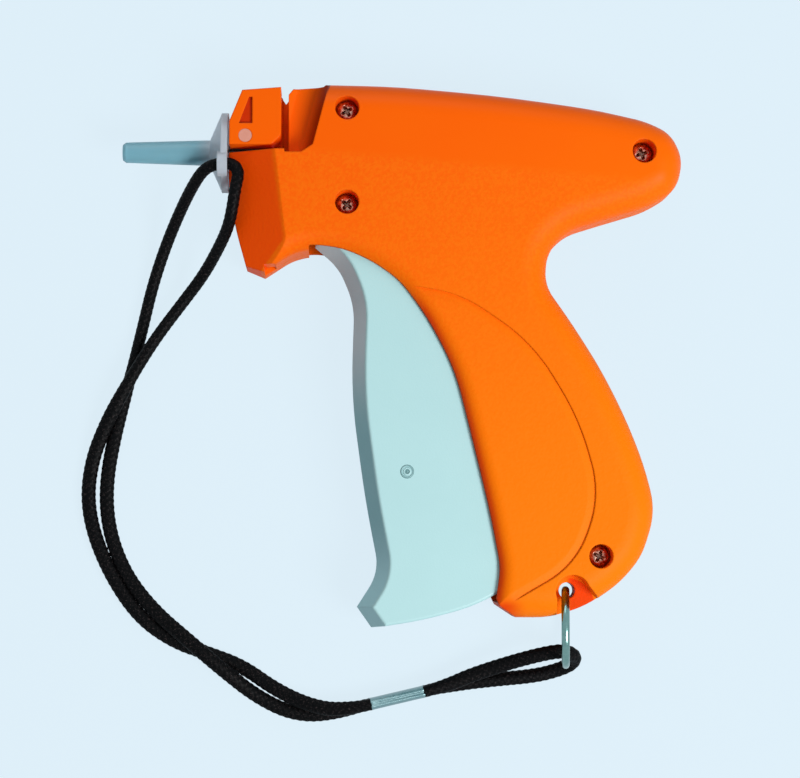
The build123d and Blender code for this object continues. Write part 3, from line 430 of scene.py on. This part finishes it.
def gate_mark(name, centre, radius=0.0018, high=0.0003, sunk=0.00002, steps=26, around=64):
    """The mark of the moulding gate: rings round the centre that rise and dip as a cosine of the
    radius and fade to the rim, which lies just under the trigger's face."""
    share = np.linspace(1, 0.02, steps)
    height = high * (0.5 + 0.5 * np.cos(share * 4.6 * math.pi)) * (1 - share**6) - sunk
    far, turn = np.meshgrid(share * radius, circle(around), indexing="ij")
    level = np.broadcast_to(height[:, None], far.shape)
    return lofted(name, [np.stack([far * np.cos(turn), far * np.sin(turn), level], -1) + centre])


def screw_heads(name, spots, top=0.019, radius=0.0027, high=0.002, dome=0.0009, around=72):
    """Pan heads at spots of x, y and how far each is turned. Over each one the height is a flat
    dome, high at the middle and falling with the fourth power of the radius; the cross recess
    sinks two tapered troughs into it, each as deep as its walls and its ends let it be."""
    half, wall_wide, reach, end_long, deep = 0.00042, 0.00016, 0.00165, 0.0009, 0.0012
    radii = np.concatenate([np.linspace(0.00004, radius * 0.97, 30), [radius, radius]])
    far, turn = np.meshgrid(radii, circle(around), indexing="ij")
    right, ahead = far * np.cos(turn), far * np.sin(turn)
    parts = []
    for x, y, spin in spots:
        one = right * math.cos(spin) + ahead * math.sin(spin)
        two = ahead * math.cos(spin) - right * math.sin(spin)
        troughs = []
        for length, width in ((one, two), (two, one)):
            walls = np.clip((half - np.abs(width)) / wall_wide, 0, 1)
            ends = np.clip((reach - np.abs(length)) / end_long, 0, 1)
            troughs.append(walls * ends)
        height = top - dome * (far / radius) ** 4 - deep * np.maximum(*troughs)
        height[-1] = top - high
        parts.append(np.stack([x + right, y + ahead, height], axis=-1))
    return lofted(name, parts, clockwise=True)


def coiled(name, front, rear, centre, radius=0.00355, wire=0.00045, turns=13, around=10):
    """The return spring: a wire along a helix whose pitch follows a cosine, closer than even at
    its two ends and wider in its middle."""
    steps_a_turn, closeness = 28, 0.035
    share = np.linspace(0, 1, turns * steps_a_turn)
    eased = share - closeness * np.sin(share * 2 * math.pi)
    angle = share * turns * 2 * math.pi
    out = np.column_stack([np.zeros(len(share)), np.cos(angle), np.sin(angle)])
    line = radius * out + np.array([0, *centre])
    line[:, 0] = front + (rear - front) * eased
    side = np.cross(unit(np.gradient(line, axis=0)), out)
    sweep = circle(around)[:, None]
    section = np.cos(sweep) * out[:, None] + np.sin(sweep) * side[:, None]
    return lofted(name, [line[:, None] + wire * section])


mark = gate_mark("trigger_gate_mark", GATE)
heads = screw_heads("screw_heads", SCREWS)
spring = coiled("return_spring_wire", 0.0176, 0.0684, (-0.058, 0.012))


# ---- finishes ------------------------------------------------------------------------------
def moulded_orange():
    """Orange ABS: satin along the top, with a fine moulded grain below a slanted line. Painted
    light makes it lighter towards the grip's back. Painted shade makes it a deeper and redder
    orange where orange walls face each other or turn away, and in the sunk arrow."""
    skin = Finish("orange_casing", {"IOR": 1.49, "Specular IOR Level": 0.09})
    x, y, z = skin.across(0), skin.across(1), skin.across(2)
    grain = skin.noise(1150, 3, 0.6)
    grained = skin.below(y + x * 0.085, 0.0127, 0.0016)
    base = skin.tinted(skin.noise(55, 3, 0.55), tint(255, 97, 0), tint(255, 103, 0))
    # painted light: lighter towards the grip's back, which faces the key lamp
    painted_light_heel = skin.above(x * 0.5 - y, 0.05, 0.07)
    base = skin.tinted(painted_light_heel * 0.8, base, tint(255, 130, 0))
    specks = skin.above(grain, 0.5, 0.12) * grained
    base = skin.tinted(specks * 0.3, base, tint(255, 128, 8))

    # painted shade on the nose's slanted face, which turns away from the key lamp: ahead of its
    # back edge, under the needle and above the chin
    shaded_cheek = skin.below(x + y * 0.135, -0.0175, 0.0007) * skin.below(y, 0.0135, 0.0002)
    shaded_cheek = shaded_cheek * skin.below(x - y * 0.75, -0.0091, 0.0004)
    # painted shadow in the recess behind the needle lock: darker towards its slanted wall, which
    # shades it, and towards its floor
    slant = x - y * 0.26
    shadowed_scoop = skin.above(slant, -0.01495, 0.00225) * skin.below(slant, -0.01235, 0.00015)
    shadowed_scoop = shadowed_scoop * skin.above(y, 0.0141, 0.0003) * skin.below(z, 0.0223, 0.0013)
    # the rounding along the grip's front, which is a parabola on y
    front = 0.0037 - y * 0.606 - y * y * 2.55
    shade = skin.below(x - front, 0.00425, 0.00325) * skin.below(z, 0.0234, 0.0008)
    shade = shade * skin.below(y, -0.025, 0.005)
    # painted shade in the hollow round the ring's hole, behind the hole
    shaded_dish = skin.disc((0.0568, -0.1033), 0.0071, 0.00018) * skin.below(z, 0.0232, 0.0006)
    shaded_dish = shaded_dish * skin.above(x, 0.05725, 0.00075)
    # painted shade in the arrow sunk into the needle lock
    arrow = skin.between(x, -0.0281, -0.0239, 0.0001) * skin.between(y, 0.0203, 0.0277, 0.0001)
    arrow = arrow * skin.below(z, 0.021925, 0.000025)
    # painted shade: each mask turns the orange deeper and redder
    for mask, amount, colour in (
        (shaded_cheek, 0.8, tint(255, 76, 0)),
        (shadowed_scoop, 0.85, tint(122, 18, 3)),
        (shade, 0.85, tint(226, 52, 0)),
        (shaded_dish, 0.8, tint(236, 50, 0)),
        (arrow, 0.9, tint(196, 40, 0)),
    ):
        base = skin.tinted(mask * amount, base, colour)

    pits = grain * (0.15 + 0.85 * grained)
    rough = 0.36 + grained * 0.12 + grain * 0.06
    return skin.paint(base, rough, skin.relief(pits, 0.00009, skin.edges(0.0006)))


def trigger_plastic():
    """Pale grey-green ABS, smooth, with the faintest cloudiness. Its bevelled front carries
    painted
    shade and light: greyer, warm at the top, deep in the middle and pale at the toe, and dust
    marks the gate's rings."""
    skin = Finish("trigger_plastic", {"IOR": 1.49})
    y, z = skin.across(1), skin.across(2)
    clouds = skin.noise(60, 4, 0.6)
    base = skin.tinted(clouds, tint(180, 220, 222), tint(185, 225, 227))
    # painted shade and light on the bevelled front, which turns away from the key lamp
    painted_front_shade = skin.tinted(skin.below(y, -0.047, 0.013), tint(196, 206, 210), tint(108, 172, 178))
    painted_front_shade = skin.tinted(skin.below(y, -0.088, 0.008), painted_front_shade, tint(158, 210, 216))
    base = skin.tinted(skin.below(z, 0.0204, 0.0004) * 0.9, base, painted_front_shade)
    ring = skin.disc(GATE, 0.001773, 0.00007) * (1 - skin.disc(GATE, 0.001337, 0.000112))
    middle = skin.disc(GATE, 0.000661, 0.000113)
    base = skin.tinted((ring + middle) * 0.7, base, tint(104, 148, 150))
    normal = skin.relief(skin.noise(2400, 2, 0.5), 0.00002, skin.edges(0.0003))
    return skin.paint(base, 0.33 + clouds * 0.12, normal)


def milky_guard():
    """Translucent polypropylene of the needle guard: teal along the tube, white at the flange."""
    skin = Finish("milky_guard", {"IOR": 1.46, "Transmission Weight": 0.4,
                                  "Subsurface Weight": 0.2, "Subsurface Scale": 1.0,
                                  "Subsurface Radius": (0.002, 0.003, 0.003)})
    clouds = skin.noise(220, 3, 0.5)
    tube = skin.tinted(clouds, tint(138, 196, 212), tint(150, 206, 220))
    flange = skin.tinted(clouds, tint(212, 222, 232), tint(222, 230, 238))
    base = skin.tinted(skin.above(skin.across(0), -0.037, 0.003), tube, flange)
    normal = skin.relief(skin.noise(1300, 2, 0.5), 0.00002, skin.edges(0.0003))
    return skin.paint(base, 0.3 + clouds * 0.15, normal)


def lock_pin():
    """The pinkish moulded pin in the needle lock."""
    skin = Finish("lock_pin_plastic", {"IOR": 1.49})
    base = skin.tinted(skin.noise(700, 2), tint(214, 140, 118), tint(226, 158, 138))
    return skin.paint(base, 0.4 + skin.noise(900) * 0.1, skin.edges(0.0002))


def inner_plastic():
    """White acetal of the mechanism, dark with painted shade round the needle's seat."""
    skin = Finish("white_acetal", {"IOR": 1.48})
    base = skin.tinted(skin.noise(120, 3), tint(226, 226, 218), tint(238, 238, 232))
    x = skin.across(0)
    # painted shade: dark round the needle's seat
    painted_seat_shade = skin.above(x, -0.0308, 0.0004) * skin.below(x, -0.016, 0.001)
    base = skin.tinted(painted_seat_shade, base, tint(52, 34, 28))
    return skin.paint(base, 0.35 + skin.noise(800) * 0.12, skin.edges(0.0002))


def metal(name, dark, light, rough, streaks, depth=0.000012):
    """A drawn or turned metal with fine streaks and a little tarnish."""
    skin = Finish(name, {"Metallic": 1.0})
    cloud = skin.noise(streaks, 4, 0.6)
    base = skin.tinted(cloud, dark, light)
    return skin.paint(base, rough + cloud * 0.14, skin.relief(skin.noise(streaks * 6, 2), depth))


def screw_copper():
    """Copper-brown plated screws, darker with tarnish in the recess."""
    skin = Finish("screw_copper", {"Metallic": 1.0})
    cloud = skin.above(skin.noise(1100, 4, 0.65), 0.5, 0.2)
    deep = skin.below(skin.across(2), 0.01825, 0.00065)
    base = skin.tinted(cloud, tint(138, 84, 60), tint(240, 196, 172))
    base = skin.tinted(deep * 0.75, base, tint(70, 30, 18))
    return skin.paint(base, 0.22 + cloud * 0.16, skin.relief(skin.noise(2600, 3), 0.00003))


def black_braid():
    """Black polyester braid: matt and painted darker in the gaps as shade, with a sheen and
    painted glints on the crowns.
    """
    skin = Finish("black_braid", {"IOR": 1.5, "Specular IOR Level": 0.05})
    depth = skin.node("ShaderNodeAttribute", {"attribute_name": "depth"}, {}, "Fac")
    fuzz = skin.noise(2600, 3, 0.6)
    # painted shade: black in the gaps, a touch lighter on the crowns
    base = skin.tinted(depth, tint(0, 0, 0), tint(8, 8, 9))
    # painted glints: pale flecks on the crowns
    painted_glints = skin.above(fuzz, 0.6, 0.08) * skin.above(depth, 0.75, 0.2)
    base = skin.tinted(painted_glints * 0.8, base, tint(58, 50, 50))
    return skin.paint(base, 0.6 - depth * 0.2, skin.relief(fuzz, 0.00003))


finishes = {
    "housing_orange": moulded_orange(),
    "trigger_grey": trigger_plastic(),
    "guard_clear": milky_guard(),
    "lock_dot_brown": lock_pin(),
    "mechanism_white": inner_plastic(),
    "needle_steel": metal("needle_steel", tint(168, 172, 176), tint(206, 209, 212), 0.18, 900),
    "screw_bronze": screw_copper(),
    "spring_steel": metal("spring_steel", tint(120, 122, 126), tint(168, 170, 173), 0.25, 1200),
    "ring_chrome": metal(
        "ring_chrome", tint(84, 122, 118), tint(150, 180, 172), 0.12, 500, 0.000006
    ),
    "ferrule_aluminium": metal(
        "ferrule_aluminium", tint(104, 136, 140), tint(150, 172, 172), 0.3, 700, 0.00003
    ),
    "cord_black": black_braid(),
}


def finished(thing, slot):
    """Gives a piece or a CAD node the finish of a material slot."""
    if len(thing.data.materials):
        for index in range(len(thing.data.materials)):
            thing.data.materials[index] = finishes[slot]
    else:
        thing.data.materials.append(finishes[slot])


for part in frame["record"]["subparts"]:
    finished(nodes[part["node"]], part["material_slot"])
for thing, slot in (
    (long_cord, "cord_black"), (short_cord, "cord_black"), (ferrule, "ferrule_aluminium"),
    (mark, "trigger_grey"), (heads, "screw_bronze"), (spring, "spring_steel"),
):
    finished(thing, slot)


# ---- what moves with what ------------------------------------------------------------------
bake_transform(long_cord)
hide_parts("lanyard_loop")
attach(short_cord, "housing")
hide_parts("lanyard_short_loop")
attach(ferrule, "housing")
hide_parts("lanyard_ferrule")
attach(heads, "housing")
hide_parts("housing_screws")
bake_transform(spring)
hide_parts("return_spring")
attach(mark, "trigger")
